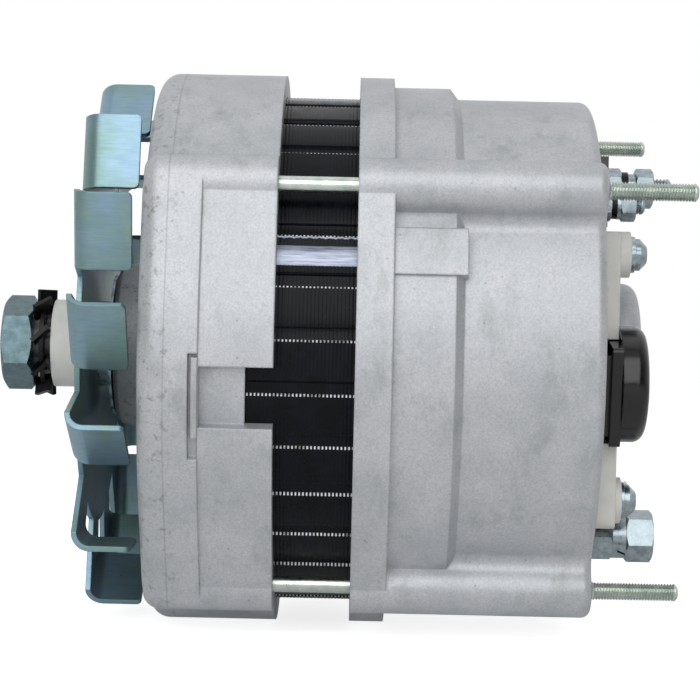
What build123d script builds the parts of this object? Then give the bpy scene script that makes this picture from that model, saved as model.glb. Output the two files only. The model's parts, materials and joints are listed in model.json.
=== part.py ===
from build123d import *

import os
from math import ceil, cos, hypot, radians, sin

# Generator alternator head. X runs along the shaft: the pulley end is -X, the slip-ring end +X.
# The side with the terminal plate, called the near side, faces -Y, and Z is up.
# The origin is on the shaft's axis, at the rear face of the slip-ring-end bracket.
# Sizes are in millimetres. An angle round the shaft is 0 at the near side and 90 at the top.

# Clearances
seat_gap = 0.05             # round a pressed or screwed seat
spigot_gap = 0.08           # round the stator in the brackets
bolt_gap = 0.15             # round a bolt in its hole
guide_gap = 0.15            # each side of a brush in its guide
ball_gap = 0.05             # between ball and race groove
part_gap = 0.3              # between parts that only lie beside each other

# Lengths along the shaft
rear_bracket_length = 65.9
stator_window = 21.2        # stretch of stator seen between the brackets
front_bracket_length = 35.7
nose_length = 12.0          # bearing hub ahead of the front bracket's rim
fan_to_nose = 5.6
sleeve_length = 12.1
lock_washer_space = 5.6
shaft_nut_height = 8.9
shaft_tip = 0.9             # shaft end ahead of the nut

x_rear_joint = -rear_bracket_length
x_front_joint = x_rear_joint - stator_window
x_front_rim = x_front_joint - front_bracket_length
x_nose = x_front_rim - nose_length
x_fan_back = x_nose - fan_to_nose
x_middle = (x_rear_joint + x_front_joint) / 2

# Both brackets, outside
bracket_radius = 79.5

# Through-bolts and the bosses that they pass
bolt_circle_radius = bracket_radius - 1.4
bolt_angles = (33.7, 123.7, 213.7, 303.7)
bolt_shank_radius = 2.2
bolt_thread_radius = 2.45
bolt_tip = 24.0             # threaded end behind the rear face
bolt_tip_chamfer = 0.8
bolt_head_radius = 4.25
bolt_head_height = 4.8
bolt_socket_af = 4.0
bolt_socket_depth = 2.6
boss_radius = 7.4
boss_blend = 4.0

# Drive-end bracket
front_bracket_radius = bracket_radius
front_wall = 4.5
bell_bore_radius = bracket_radius - 6.5
seat_ring_radius = bell_bore_radius - 2.0   # shoulder ring that the stator stands against
rim_band_length = 16.1
rim_rounding = 5.0
facet_normals = (11.1, -33.7)   # flats that run from the near side's round on to its two bosses
recess_depth = 1.0          # near-side wall, behind the rim band
notch_angles = (-15.8, -3.9)
notch_floor_radius = bracket_radius - 4.9
notch_setback = 2.5         # rim band's edge, set back beside the notch
notch_setback_angles = (-22.0, -1.5)
notch_setback_depth = 2.2
rib_width = 1.7             # upright rib in that setback
rib_angles = (-17.8, -2.2)
rib_drop = 0.4
nose_radius = 23.3
nose_chamfer = 1.2
nose_room = 1.5             # round the collar
hub_radius = 29.0
hub_skirt_radius = 25.5
hub_depth = 3.3             # hub behind the front wall
window_count = 8
window_inner_radius = 37.0
window_outer_radius = 66.0
window_span = 31.0
window_rounding = 3.0

# Slip-ring-end bracket
rear_flange_radius = bracket_radius
rear_flange_length = 9.7
rear_step_radius = rear_flange_radius - 2.7
rear_step_end = 39.9        # the step's end, measured from the rear face
rear_step_slope = 2.7
rear_body_radius = rear_step_radius - 3.1
rear_wall = 4.5
rear_cavity_radius = rear_body_radius - 4.3
rear_rounding = 2.5
dome_base_step = 3.0        # thicker wall under the dome
dome_radius = 21.0
dome_length = 16.3
dome_rounding = 4.0
dome_wall = 3.3
pad_angles = (14.8, 24.5)
pad_height = 1.0
pad_overhang = 0.4
nick_angles = (16.9, 21.4)  # shallow nick in the flange's near facet
nick_depth = 1.3
vent_count = 8
vent_first_angle = 100.0
vent_pitch = 24.0
vent_width = 8.0
vent_inner_radius = 29.0
vent_outer_radius = 52.0

# Mounting lugs on the far side
lug_root = 2.0              # lug's arm, into the wall
lug_setback = 2.0           # behind the front rim
lug_angle = 180.0
lug_circle_radius = 93.0
lug_radius = 11.0
lug_bore_radius = 5.2
lug_width = 18.0
ear_angle = 140.0
ear_circle_radius = 92.0
ear_radius = 9.5
ear_thread_radius = 3.4
ear_width = 14.0

# Stator
stack_length = 36.0
stack_radius = bracket_radius - 6.3
stack_bore_radius = stack_radius - 19.9
stack_ridges = 32
first_groove = 2.9
ridge_groove_width = 3.4
ridge_groove_depth = 1.0
slot_count = 36
slot_mouth_width = 2.6
slot_mouth_depth = 1.7
slot_width = 5.0
slot_bottom_radius = stack_radius - 7.2
winding_overhang = 15.5
winding_side_gap = 0.25
winding_inset = 1.0
winding_inner_radius = slot_bottom_radius - 10.0
winding_outer_radius = slot_bottom_radius + 0.5

# Rotor
air_gap = 0.4
pole_pairs = 6
pole_disc_width = 12.0
pole_disc_radius = 37.0
claw_root_width = 29.0
claw_tip_width = 11.0
claw_root_thickness = 14.0
claw_tip_thickness = 5.4
claw_tip_inset = 6.5        # claw tip, short of the other pole's outer face
claw_lobe_radius = 29.6
claw_oversize = 4.0         # stock that is turned off
rotor_length = 58.0
core_radius = 24.0
bobbin_wall = 1.3
bobbin_rim = 1.0            # flange, above the coil
coil_radius = 36.0
rotor_seat_radius = 10.0
shaft_collar_radius = 12.0
shaft_journal_radius = 8.5
shaft_thread_radius = 8.0
shaft_thread_length = 15.4
shaft_rear_radius = 9.0
key_width = 4.0
key_height = 3.6            # above the bottom of its seat
key_seat_depth = 2.2
key_length = 13.0
key_overlap = 2.0           # behind the fan

# Slip rings and brushes
slip_ring_radius = 14.0
slip_sleeve_radius = 11.4
slip_ring_width = 9.0
front_ring_station = -31.5
rear_ring_station = -15.5
slip_sleeve_front = -44.0
slip_sleeve_rear = -7.0
brush_width = 6.0
brush_breadth = 8.0
brush_length = 20.0
brush_skirt = 1.2           # brush beside the ring
brush_spring_wire = 0.7
brush_spring_radius = 2.1
brush_spring_turns = 4.5
brush_spring_room = 12.0

# Bearings
front_bearing_bore_radius = 8.5
front_bearing_outer_radius = 20.0
front_bearing_width = 12.0
front_ball_radius = 3.4
front_ball_count = 8
rear_bearing_bore_radius = 7.5
rear_bearing_outer_radius = 17.5
rear_bearing_width = 11.0
rear_ball_radius = 3.0
rear_ball_count = 8
race_shoulder = 0.64        # of the ball's radius, as the cage's band is
cage_band = 0.32
cage_reach = 0.8            # beyond the ball
retainer_thickness = 2.0
retainer_bore_radius = 17.0
retainer_radius = 28.2
retainer_screw_circle = 24.4
retainer_screw_radius = 1.95
retainer_screw_head = 3.0
retainer_screw_height = 2.2
retainer_screw_length = 8.0
hole_spare = 1.0            # blind hole, deeper than its screw

# Fan
fan_sheet = 1.5
fan_hub_radius = 52.0
fan_bend_radius = 3.6
fan_depth = 15.9
blade_chord = 21.0
blade_circle_radius = 69.3
blade_lean = 38.0
blade_corner = 1.5
arm_angles = (33.0, 47.0)   # an arm's two root corners, before the blade is turned to its place
blade_angles = (80, 50, 25.5, 1.2, -23.5, -54, -86, -115, -139, -161, -183.5, -206, -229, -252)
collar_radius = 12.5
collar_flange_radius = 20.5
collar_flange = 0.8
flange_to_nose = 0.8

# Shaft nut, lock washer and sleeve
shaft_nut_af = 24.0
shaft_nut_turn = 26.6
washer_sheet = 1.3
washer_body_radius = 12.4
washer_radius = 15.6
washer_teeth = 9
washer_tooth_width = 6.2
washer_twist = 46.0
washer_tooth_root = 2.0
sleeve_radius = 12.8

# Rear face: terminal plate, regulator and studs
plate_thickness = 6.5
plate_near = 44.0           # plate's near edge, from the shaft's axis
plate_inner = 22.4
plate_top = 34.0
plate_bottom = -48.0
plate_rounding = 3.0
screw_post_radius = 6.4
post_y = -36.5
upper_post_z = 27.9
upper_post_height = 9.7
upper_post_washer = 1.3
lower_post_z = -40.4
lower_post_height = 8.4
lower_post_washer = 1.0
post_screw_radius = 1.95
post_screw_head_radius = 4.4
post_screw_head_height = 3.4
post_washer_radius = 5.0
regulator_angle = -11.5
regulator_reach = 40.3      # cap's centre, from the shaft's axis
cap_radius = 16.0
cap_length = 7.35
cap_rounding = 3.2
cap_wall = 1.6
base_thickness = 6.6
base_foot = 3.6             # smaller part of the base, next to the wall
base_foot_inset = 2.5
base_top = 12.6
base_bottom = -14.8
base_near = 54.0
base_inner = 28.0
base_rounding = 1.2
holder_breadth = 14.0
holder_outer = 50.5
holder_inner = 24.0
holder_depth = 38.0
module_breadth = 9.0
module_length = 20.0
module_height = 5.0
module_rounding = 2.0
regulator_screw_y = 8.3     # from the cap's centre
regulator_screw_z = 7.0
regulator_screw_head = 3.0
regulator_screw_height = 2.4
regulator_screw_length = 4.5

# Terminals, each outwards from the rear wall
stud_chamfer = 0.7
insulator_wall = 1.2
insulator_inner = 2.5
washer_cut = 0.7

output_y = -22.0
output_z = -51.4
output_radius = 4.0
output_head_radius = 6.5
output_head_height = 4.5
output_flats = 13.0
output_flange_radius = 6.8
output_flange = 1.7
output_low_nut = 6.2
output_washer_radius = 6.4
output_washer = 1.5
output_split = 2.4
output_top_nut = 7.7
output_top_turn = 17.0
output_sunk = 0.5           # stud's end, short of its top nut's face
output_room = 8.6           # radius left free round the nuts, in the terminal plate
output_plate_room = 9.0     # and round the stud, in the negative plate

block_near = 38.0           # insulating block under the other two terminals
block_inner = 4.0
block_top = 55.0
block_bottom = 35.4
block_thickness = 3.3

main_y = -10.0
main_z = 48.4
main_radius = 3.0
main_waist_radius = 2.6     # under the nuts
main_head_radius = 5.0
main_head_height = 3.5
main_flats = 10.0
main_low_washer_radius = 6.0
main_low_washer = 2.7
main_low_nut = 4.1
main_split = 1.9
main_washer = 2.1
main_washer_radius = 4.2
main_split_radius = 4.7
main_top_nut = 5.2
main_turn = 30.0
main_free_end = 5.2

small_y = -20.0
small_z = 42.7
small_radius = 2.5
small_head_radius = 4.2
small_head_height = 3.0
small_flats = 8.0
small_low_nut = 3.0
small_split = 1.5
small_washer = 1.1
small_washer_radius = 4.0
small_split_radius = 3.9
small_top_nut = 4.3
small_turn = 30.0
small_free_end = 2.6

# Rectifier
rectifier_angles = (91.0, 304.0)
rectifier_inner_radius = 30.0
rectifier_outer_radius = 63.0
rectifier_sheet = 2.5
rectifier_wall_gap = 2.5
rectifier_plate_gap = 6.0
diode_radius = 5.5
diode_length = 6.5
diode_circle_radius = 45.0
diode_angles = (118.0, 140.0, 162.0, 212.0, 234.0, 256.0)
fixing_circle_radius = 57.5
fixing_angles = (112.0, 184.0, 279.0)
fixing_radius = 1.95
fixing_insulator_radius = 4.0
fixing_depth = 2.0          # screw in the wall
fixing_head_radius = 3.4
fixing_head_height = 2.4


# Stations inside the head
x_stack_front = x_middle - stack_length / 2
x_stack_rear = x_middle + stack_length / 2
x_step = x_front_rim + rim_band_length
x_front_inner = x_front_rim + front_wall
x_hub_back = x_front_inner + hub_depth
x_front_bearing = x_hub_back - front_bearing_width
x_rotor_front = x_middle - rotor_length / 2
x_rotor_rear = x_middle + rotor_length / 2
x_rear_bearing = dome_length - dome_wall - rear_bearing_width
x_sleeve_front = x_fan_back - fan_sheet - sleeve_length
x_nut_back = x_sleeve_front - lock_washer_space
x_nut_front = x_nut_back - shaft_nut_height
x_shaft_front = x_nut_front - shaft_tip
x_shaft_rear = x_rear_bearing + rear_bearing_width
x_positive = -rear_wall - rectifier_wall_gap - rectifier_sheet
x_negative = x_positive - rectifier_plate_gap - rectifier_sheet

# Places on the rear face
output_place = (output_y, output_z)
main_place = (main_y, main_z)
small_place = (small_y, small_z)
screw_posts = (
    (post_y, upper_post_z, upper_post_height, upper_post_washer),
    (post_y, lower_post_z, lower_post_height, lower_post_washer),
)
regulator_screw_places = (
    (regulator_screw_y - regulator_reach, regulator_screw_z),
    (-regulator_screw_y - regulator_reach, -regulator_screw_z),
)
retainer_screw_angles = (60.0, 180.0, 300.0)


def toward(angle, radius):
    """Y and Z of a point at an angle round the shaft and a distance from its axis."""
    return (-radius * cos(radians(angle)), radius * sin(radians(angle)))


def station(x):
    """The plane across the shaft at a distance x along it. Its own x and y are Y and Z."""
    return Plane.YZ.offset(x)


def bar(radius, x_from, x_to, place=(0, 0)):
    """A round bar along the shaft's direction."""
    return extrude(station(x_from) * Pos(*place) * Circle(radius), x_to - x_from)


def tube(outer, bore, x_from, x_to, place=(0, 0)):
    """A round bar with a bore."""
    section = Circle(outer) - Circle(bore)
    return extrude(station(x_from) * Pos(*place) * section, x_to - x_from)


def turned(*points, rounds=()):
    """A turned solid from (x, radius) points, with a (corner, radius) pair for each rounding."""
    profile = Polygon(*points, align=None)
    for corner, radius in rounds:
        profile = fillet(profile.vertices().sort_by_distance((*corner, 0))[0], radius)
    return revolve(profile, Axis.X)


def sector(inner, outer, angle_from, angle_to):
    """The part of a flat ring between two angles, as a sketch."""
    steps = ceil((angle_to - angle_from) / 30)
    reach = outer * 1.5
    turns = [angle_to + (angle_from - angle_to) * i / steps for i in range(steps + 1)]
    wedge = Polygon((0, 0), *[toward(turn, reach) for turn in turns], align=None)
    return (Circle(outer) - Circle(inner)) & wedge


def around(shape, angle):
    """Carry a shape made at the near side round the shaft to an angle."""
    return shape.rotate(Axis.X, -angle)


def hex_nut(across_flats, bore, x_from, x_to, place=(0, 0), turn=0.0):
    """A hexagon nut whose corners are turned off at both faces."""
    corner = across_flats / 2 / cos(radians(30))
    section = Rot(0, 0, turn) * RegularPolygon(corner, 6) - Circle(bore)
    nut = extrude(station(x_from) * Pos(*place) * section, x_to - x_from)
    slope = (corner - across_flats / 2) * 0.6
    envelope = turned(
        (x_from, 0), (x_from, across_flats / 2), (x_from + slope, corner),
        (x_to - slope, corner), (x_to, across_flats / 2), (x_to, 0),
    )
    return nut & Pos(0, *place) * envelope


def pan_screw(head_radius, head_height, shank_radius, x_seat, length, place):
    """A pan-head screw whose head stands on x_seat, towards +X, and whose shank runs to -X."""
    edge = head_height * 0.45
    head = turned(
        (x_seat, 0), (x_seat, head_radius), (x_seat + edge, head_radius),
        (x_seat + head_height, head_radius * 0.55), (x_seat + head_height, 0),
    )
    wing, slot = head_radius * 1.1, head_radius * 0.26
    cross = Rectangle(wing, slot) + Rectangle(slot, wing)
    head -= extrude(station(x_seat + head_height) * cross, -head_height * 0.5)
    return Pos(0, *place) * (head + bar(shank_radius, x_seat - length, x_seat))


def bossed_outline(radius):
    """A round body with a boss at each through-bolt, blended in by concave fillets."""
    centres = [toward(angle, bolt_circle_radius) for angle in bolt_angles]
    outline = Circle(radius)
    for centre in centres:
        outline += Pos(*centre) * Circle(boss_radius)

    def is_corner(vertex):
        on_body = abs(hypot(vertex.X, vertex.Y) - radius) < 0.01
        near_boss = min(hypot(vertex.X - y, vertex.Y - z) for y, z in centres)
        return on_body and abs(near_boss - boss_radius) < 0.01

    return fillet(outline.vertices().filter_by(is_corner), boss_blend)


def near_facets(drop):
    """The flats from the near side's round to the two bosses beside it, lowered by a drop."""
    points = [(0, 0)]
    for angle, normal in zip((bolt_angles[0], bolt_angles[3]), facet_normals):
        boss_y, boss_z = toward(angle, bolt_circle_radius)
        flat_y, flat_z = toward(normal, boss_radius - drop)
        on_boss = (boss_y + flat_y, boss_z + flat_z)
        on_round = toward(normal, bracket_radius - drop)
        points += [on_boss, on_round] if len(points) == 1 else [on_round, on_boss]
    return Polygon(*points, align=None)


def near_bosses():
    """The two bosses beside the near side, as a sketch."""
    upper = Pos(*toward(bolt_angles[0], bolt_circle_radius)) * Circle(boss_radius)
    lower = Pos(*toward(bolt_angles[3], bolt_circle_radius)) * Circle(boss_radius)
    return upper + lower


def bolt_holes(x_from, x_to, radius):
    """The four holes for the through-bolts."""
    return [bar(radius, x_from, x_to, toward(angle, bolt_circle_radius)) for angle in bolt_angles]


def lug(angle, circle_radius, radius, root_radius, x_from, width):
    """A mounting lug that stands out of a bracket, without its bore."""
    eye = Pos(circle_radius, 0) * Circle(radius)
    arm = Pos((circle_radius + root_radius) / 2, 0) * Rectangle(circle_radius - root_radius, 2 * radius)
    return extrude(station(x_from) * Rot(0, 0, 180 - angle) * (eye + arm), width)


def drive_end_bracket():
    """The pulley-end bell: rim band, recessed near wall, locating notch, windows and bearing hub."""
    outline = bossed_outline(front_bracket_radius)
    beyond = bolt_circle_radius * 1.2
    near = sector(front_bracket_radius - recess_depth, beyond, bolt_angles[3] - 360, bolt_angles[0])
    body = extrude(station(x_front_rim) * (outline + near_facets(0)), rim_band_length)
    body = fillet(body.faces().sort_by(Axis.X)[0].edges(), rim_rounding)
    wall = outline - near + near_facets(recess_depth) + near_bosses()
    body += extrude(station(x_step) * wall, x_front_joint - x_step)
    root = bell_bore_radius + lug_root
    body += lug(lug_angle, lug_circle_radius, lug_radius, root, x_front_rim + lug_setback, lug_width)
    body += lug(ear_angle, ear_circle_radius, ear_radius, root, x_front_rim + lug_setback, ear_width)
    body += turned(
        (x_nose, 0), (x_nose, nose_radius - nose_chamfer), (x_nose + nose_chamfer, nose_radius),
        (x_front_rim, hub_skirt_radius), (x_front_inner, hub_radius), (x_hub_back, hub_radius),
        (x_hub_back, 0),
    )
    seat = stack_radius + spigot_gap
    body -= turned(
        (x_front_inner, hub_radius), (x_front_inner, bell_bore_radius), (x_step, bell_bore_radius),
        (x_step, seat_ring_radius), (x_stack_front, seat_ring_radius), (x_stack_front, seat),
        (x_front_joint, seat), (x_front_joint, 0), (x_hub_back, 0), (x_hub_back, hub_radius),
    )
    setback = sector(front_bracket_radius - notch_setback_depth, beyond, *notch_setback_angles)
    body -= extrude(station(x_step) * setback, -notch_setback)
    rib_foot = front_bracket_radius - 2 * notch_setback_depth
    rib = sector(rib_foot, front_bracket_radius - rib_drop, *rib_angles)
    body += extrude(station(x_step) * rib, -rib_width)
    notch = sector(notch_floor_radius, beyond, *notch_angles)
    body -= extrude(station(x_step + part_gap) * notch, x_front_joint - x_step)
    through = sector(seat_ring_radius - 1, beyond, *notch_angles)
    body -= extrude(station(x_stack_front) * through, x_front_joint - x_stack_front)
    window = sector(window_inner_radius, window_outer_radius, -window_span / 2, window_span / 2)
    window = extrude(station(x_front_rim) * fillet(window.vertices(), window_rounding), front_wall)
    for i in range(window_count):
        body -= around(window, 360 / window_count * (i + 0.5))
    body -= bolt_holes(x_front_rim, x_front_joint, bolt_shank_radius + bolt_gap)
    x_seat = x_front_rim + bolt_head_height + part_gap
    body -= bolt_holes(x_front_rim, x_seat, bolt_head_radius + bolt_gap)
    body -= bar(front_bearing_outer_radius + seat_gap, x_front_bearing, x_hub_back)
    body -= bar(collar_radius + nose_room, x_nose, x_hub_back)
    x_screw_hole = x_hub_back + retainer_thickness - retainer_screw_length - hole_spare
    for angle in retainer_screw_angles:
        place = toward(angle, retainer_screw_circle)
        body -= bar(retainer_screw_radius + seat_gap, x_screw_hole, x_hub_back, place)
    body -= bar(lug_bore_radius, x_front_rim, x_front_joint, toward(lug_angle, lug_circle_radius))
    body -= bar(ear_thread_radius, x_front_rim, x_front_joint, toward(ear_angle, ear_circle_radius))
    return body


def slip_ring_end_bracket():
    """The rear bell: flange, stepped body, bosses, bearing dome, vents and the holes in its wall."""
    body = extrude(station(x_rear_joint) * bossed_outline(rear_body_radius), rear_bracket_length)
    body = fillet(body.faces().sort_by(Axis.X)[-1].edges(), rear_rounding)
    x_flange_end = x_rear_joint + rear_flange_length
    x_slope_end = rear_step_slope - rear_step_end
    body += turned(
        (x_rear_joint, rear_body_radius - 1), (x_rear_joint, rear_flange_radius),
        (x_flange_end, rear_flange_radius), (x_flange_end, rear_step_radius),
        (-rear_step_end, rear_step_radius), (x_slope_end, rear_body_radius - 0.4),
        (x_slope_end, rear_body_radius - 1),
    )
    body += extrude(station(x_rear_joint) * near_facets(recess_depth), rear_flange_length)
    nick_low, nick_high = nick_angles
    nick = Polygon(
        toward(nick_high, bracket_radius + pad_overhang), toward(nick_low, bracket_radius - 2 * nick_depth),
        toward(nick_low, bracket_radius + boss_radius), toward(nick_high, bracket_radius + boss_radius),
        align=None,
    )
    body -= extrude(station(x_rear_joint) * nick, rear_flange_length)
    pad = sector(rear_body_radius - 1, rear_step_radius + pad_height, *pad_angles)
    body += extrude(station(x_flange_end) * pad, x_slope_end + pad_overhang - x_flange_end)
    root = rear_cavity_radius + lug_root
    body += lug(lug_angle, lug_circle_radius, lug_radius, root, x_rear_joint, lug_width)
    x_dome_base = -rear_wall - dome_base_step
    body += turned(
        (x_dome_base, 0), (x_dome_base, dome_radius), (dome_length, dome_radius), (dome_length, 0),
        rounds=[((dome_length, dome_radius), dome_rounding)],
    )
    seat = stack_radius + spigot_gap
    body -= turned(
        (x_rear_joint, 0), (x_rear_joint, seat), (x_stack_rear, seat),
        (x_stack_rear, rear_cavity_radius), (-rear_wall, rear_cavity_radius),
        (-rear_wall, dome_radius), (x_dome_base, dome_radius), (x_dome_base, 0),
    )
    body -= bar(rear_bearing_outer_radius + seat_gap, x_dome_base, x_rear_bearing + rear_bearing_width)
    body -= bolt_holes(x_rear_joint, 0, bolt_shank_radius + bolt_gap)
    slot_length = vent_outer_radius - vent_inner_radius
    slot = Pos(-(vent_inner_radius + vent_outer_radius) / 2, 0) * SlotOverall(slot_length, vent_width)
    slot = extrude(station(-rear_wall) * slot, rear_wall)
    for i in range(vent_count):
        body -= around(slot, vent_first_angle + vent_pitch * i)
    body -= bar(lug_bore_radius, x_rear_joint, 0, toward(lug_angle, lug_circle_radius))
    body -= around(holder_block(guide_gap, -rear_wall, 0), regulator_angle)
    for y, z, _, _ in screw_posts:
        body -= bar(post_screw_radius + seat_gap, -rear_wall, 0, (y, z))
    studs = ((output_place, output_radius), (main_place, main_radius), (small_place, small_radius))
    for place, radius in studs:
        body -= bar(radius + insulator_wall + 2 * seat_gap, -rear_wall, 0, place)
    x_fixing_hole = fixing_depth + hole_spare - rear_wall
    for angle in fixing_angles:
        place = toward(angle, fixing_circle_radius)
        body -= bar(fixing_radius + seat_gap, -rear_wall, x_fixing_hole, place)
    return body


def holder_block(grown, x_from, x_to):
    """The brush holder's outline through the rear wall, at the near side."""
    depth = holder_outer - holder_inner + 2 * grown
    section = Pos(-(holder_outer + holder_inner) / 2, 0) * Rectangle(depth, holder_breadth + 2 * grown)
    return extrude(station(x_from) * section, x_to - x_from)


def stator_core():
    """The lamination stack: ridges along its outside and a slot for each coil side."""
    section = Circle(stack_radius) - Circle(stack_bore_radius)
    groove = Pos(-stack_radius, 0) * Rectangle(2 * ridge_groove_depth, ridge_groove_width)
    for i in range(stack_ridges):
        section -= Rot(0, 0, -360 / stack_ridges * i - first_groove) * groove
    mouth_end = stack_bore_radius + slot_mouth_depth
    mouth = Pos(-mouth_end, 0) * Rectangle(2 * slot_mouth_depth + 1, slot_mouth_width)
    room = Rectangle(slot_bottom_radius - mouth_end, slot_width)
    opening = mouth + Pos(-(mouth_end + slot_bottom_radius) / 2, 0) * room
    for i in range(slot_count):
        section -= Rot(0, 0, -360 / slot_count * (i + 0.5)) * opening
    return extrude(station(x_stack_front) * section, stack_length)


def stator_windings():
    """The coil sides in their slots, joined by the two rings of end turns."""
    low = stack_bore_radius + slot_mouth_depth + winding_side_gap
    high = slot_bottom_radius - winding_side_gap
    side = Pos(-(low + high) / 2, 0) * Rectangle(high - low, slot_width - 2 * winding_side_gap)
    sides = Rot(0, 0, -180 / slot_count) * side
    for i in range(1, slot_count):
        sides += Rot(0, 0, -360 / slot_count * (i + 0.5)) * side
    wound = extrude(station(x_stack_front - winding_inset) * sides, stack_length + 2 * winding_inset)
    for x_near, x_far in (
        (x_stack_front - part_gap, x_stack_front - winding_overhang),
        (x_stack_rear + part_gap, x_stack_rear + winding_overhang),
    ):
        bulge = (winding_outer_radius - winding_inner_radius) / 3
        wound += turned(
            (x_near, winding_inner_radius - 1), (x_near, winding_outer_radius + 1),
            (x_far, winding_outer_radius), (x_far, winding_inner_radius),
            rounds=[((x_far, winding_outer_radius), bulge), ((x_far, winding_inner_radius), bulge)],
        )
    return wound


def through_bolts():
    """Socket-head bolts from the front rim through both bosses, threaded behind the rear face."""
    x_head = x_front_rim + part_gap
    x_seat = x_front_rim + bolt_head_height + part_gap
    bolt = turned(
        (x_head, 0), (x_head, bolt_head_radius), (x_seat, bolt_head_radius),
        (x_seat, bolt_shank_radius), (part_gap, bolt_shank_radius),
        (part_gap, bolt_thread_radius), (bolt_tip - bolt_tip_chamfer, bolt_thread_radius),
        (bolt_tip, bolt_thread_radius - bolt_tip_chamfer), (bolt_tip, 0),
    )
    socket = RegularPolygon(bolt_socket_af / 2, 6, major_radius=False)
    bolt -= extrude(station(x_head) * socket, bolt_socket_depth)
    return [Pos(0, *toward(angle, bolt_circle_radius)) * bolt for angle in bolt_angles]


def ball_bearing(bore, outer, width, ball_radius, ball_count, x_from):
    """A deep-groove ball bearing: inner race, outer race, balls and cage, each apart."""
    pitch = (bore + outer) / 2
    x_centre = x_from + width / 2
    shoulder = ball_radius * race_shoulder
    groove = Pos(x_centre, 0, 0) * Rot(0, 90, 0) * Torus(pitch, ball_radius + ball_gap)
    inner = tube(pitch - shoulder, bore, x_from, x_from + width) - groove
    outer_race = tube(outer, pitch + shoulder, x_from, x_from + width) - groove
    angles = [360 / ball_count * i for i in range(ball_count)]
    balls = [around(Pos(x_centre, -pitch, 0) * Sphere(ball_radius), angle) for angle in angles]
    band = ball_radius * cage_band
    reach = ball_radius + cage_reach
    cage = tube(pitch + band, pitch - band, x_centre - reach, x_centre + reach)
    pocket = Pos(x_centre, -pitch, 0) * Rot(90, 0, 0) * Cylinder(ball_radius + ball_gap, 2 * ball_radius)
    cage -= [around(pocket, angle) for angle in angles]
    return inner, outer_race, balls, cage


def bearing_retainer():
    """The plate behind the front bearing, held by three screws."""
    x_to = x_hub_back + retainer_thickness
    plate = tube(retainer_radius, retainer_bore_radius, x_hub_back, x_to)
    for angle in retainer_screw_angles:
        place = toward(angle, retainer_screw_circle)
        plate -= bar(retainer_screw_radius + seat_gap, x_hub_back, x_to, place)
    return plate


def retainer_screws():
    """Three pan-head screws for the retainer plate."""
    x_seat = x_hub_back + retainer_thickness
    return [
        pan_screw(retainer_screw_head, retainer_screw_height, retainer_screw_radius, x_seat,
                  retainer_screw_length, toward(angle, retainer_screw_circle))
        for angle in retainer_screw_angles
    ]


def key_slot(grown):
    """The key's block, on the upper side of the shaft under the fan and the sleeve."""
    x_from = x_fan_back - key_length + key_overlap
    height = key_height + 2 * grown
    centre = shaft_journal_radius - key_seat_depth - grown + height / 2
    section = Pos(0, centre) * Rectangle(key_width + 2 * grown, height)
    return extrude(station(x_from - grown) * section, key_length + 2 * grown)


def rotor_shaft():
    """The stepped shaft, from the threaded pulley end to the rear bearing's journal."""
    x_thread_end = x_shaft_front + shaft_thread_length
    shaft = turned(
        (x_shaft_front, 0), (x_shaft_front, shaft_thread_radius - 1),
        (x_shaft_front + 1, shaft_thread_radius),
        (x_thread_end, shaft_thread_radius), (x_thread_end, shaft_journal_radius),
        (x_hub_back, shaft_journal_radius), (x_hub_back, shaft_collar_radius),
        (x_rotor_front, shaft_collar_radius), (x_rotor_front, rotor_seat_radius),
        (x_rotor_rear, rotor_seat_radius), (x_rotor_rear, shaft_rear_radius),
        (x_rear_bearing, shaft_rear_radius), (x_rear_bearing, rear_bearing_bore_radius),
        (x_shaft_rear, rear_bearing_bore_radius), (x_shaft_rear, 0),
    )
    return shaft - key_slot(seat_gap)


def claw_pole():
    """The front pole piece: a disc whose claws taper over the coil towards the other pole."""
    reach = stack_bore_radius - air_gap
    x_root = x_rotor_front + pole_disc_width
    x_tip = x_rotor_rear - claw_tip_inset

    def block(inner, width):
        outer = reach + claw_oversize
        return Pos(-(inner + outer) / 2, 0) * Rectangle(outer - inner, width)

    lobe = extrude(station(x_rotor_front) * block(claw_lobe_radius, claw_root_width), pole_disc_width)
    root = station(x_root) * block(reach - claw_root_thickness, claw_root_width)
    tip = station(x_tip) * block(reach - claw_tip_thickness, claw_tip_width)
    claw = (lobe + loft([root, tip])) & bar(reach, x_rotor_front, x_tip)
    pole = bar(pole_disc_radius, x_rotor_front, x_root)
    for i in range(pole_pairs):
        pole += around(claw, 360 / pole_pairs * i)
    return pole - bar(rotor_seat_radius + seat_gap, x_rotor_front, x_root)


def rear_claw_pole(front_pole):
    """The rear pole piece: the front one seen in a mirror and turned by half a claw pitch."""
    flipped = mirror(front_pole, about=station(x_middle))
    return around(flipped, 180 / pole_pairs)


def field_winding():
    """The core sleeve between the poles, the bobbin on it and the coil in the bobbin."""
    x_from = x_rotor_front + pole_disc_width
    x_to = x_rotor_rear - pole_disc_width
    core = tube(core_radius, rotor_seat_radius + seat_gap, x_from, x_to)
    inner = core_radius + seat_gap
    barrel = inner + bobbin_wall
    rim = coil_radius + bobbin_rim
    x_front, x_rear = x_from + part_gap, x_to - part_gap
    x_in, x_out = x_front + bobbin_wall, x_rear - bobbin_wall
    spool = turned(
        (x_front, inner), (x_front, rim), (x_in, rim), (x_in, barrel),
        (x_out, barrel), (x_out, rim), (x_rear, rim), (x_rear, inner),
    )
    coil = tube(coil_radius, barrel + seat_gap, x_in + seat_gap, x_out - seat_gap)
    return core, spool, coil


def slip_ring_sleeve():
    """The insulating sleeve under the slip rings, pressed on the shaft."""
    return tube(slip_sleeve_radius, shaft_rear_radius + seat_gap, slip_sleeve_front, slip_sleeve_rear)


def slip_rings():
    """Two copper rings."""
    half = slip_ring_width / 2
    return [
        tube(slip_ring_radius, slip_sleeve_radius + seat_gap, x - half, x + half)
        for x in (front_ring_station, rear_ring_station)
    ]


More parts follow.
